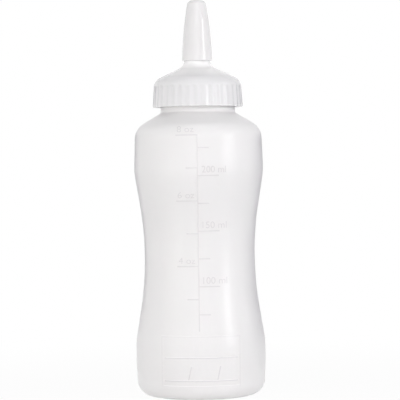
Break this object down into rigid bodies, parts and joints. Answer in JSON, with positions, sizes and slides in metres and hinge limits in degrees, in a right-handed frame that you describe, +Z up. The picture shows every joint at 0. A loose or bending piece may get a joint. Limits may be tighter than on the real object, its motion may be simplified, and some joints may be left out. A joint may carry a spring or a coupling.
{
  "type": "squeeze bottle",
  "caption": "Empty milky plastic squeeze bottle for sauce: waisted body with a raised volume scale, fluted screw cap with a cone nozzle, and a small cover pushed over the nozzle.",
  "frame": {"origin": "on the bottle's axis, in the plane that it stands on", "axes": "+Z up along the bottle's axis to the nozzle; -Y towards the front, which has the scale and the date panel; +X to the right as seen from the front"},
  "size_m": [0.057, 0.0573, 0.174],
  "materials": {
    "milky_plastic": "soft satin, milky and translucent",
    "white_plastic": "smooth, half gloss",
    "cover_plastic": "smooth, half gloss, slightly translucent"
  },
  "bodies": {
    "root": {"bottle": "milky_plastic", "spout_cap": "white_plastic", "tip_cover": "cover_plastic"}
  },
  "joints": []
}
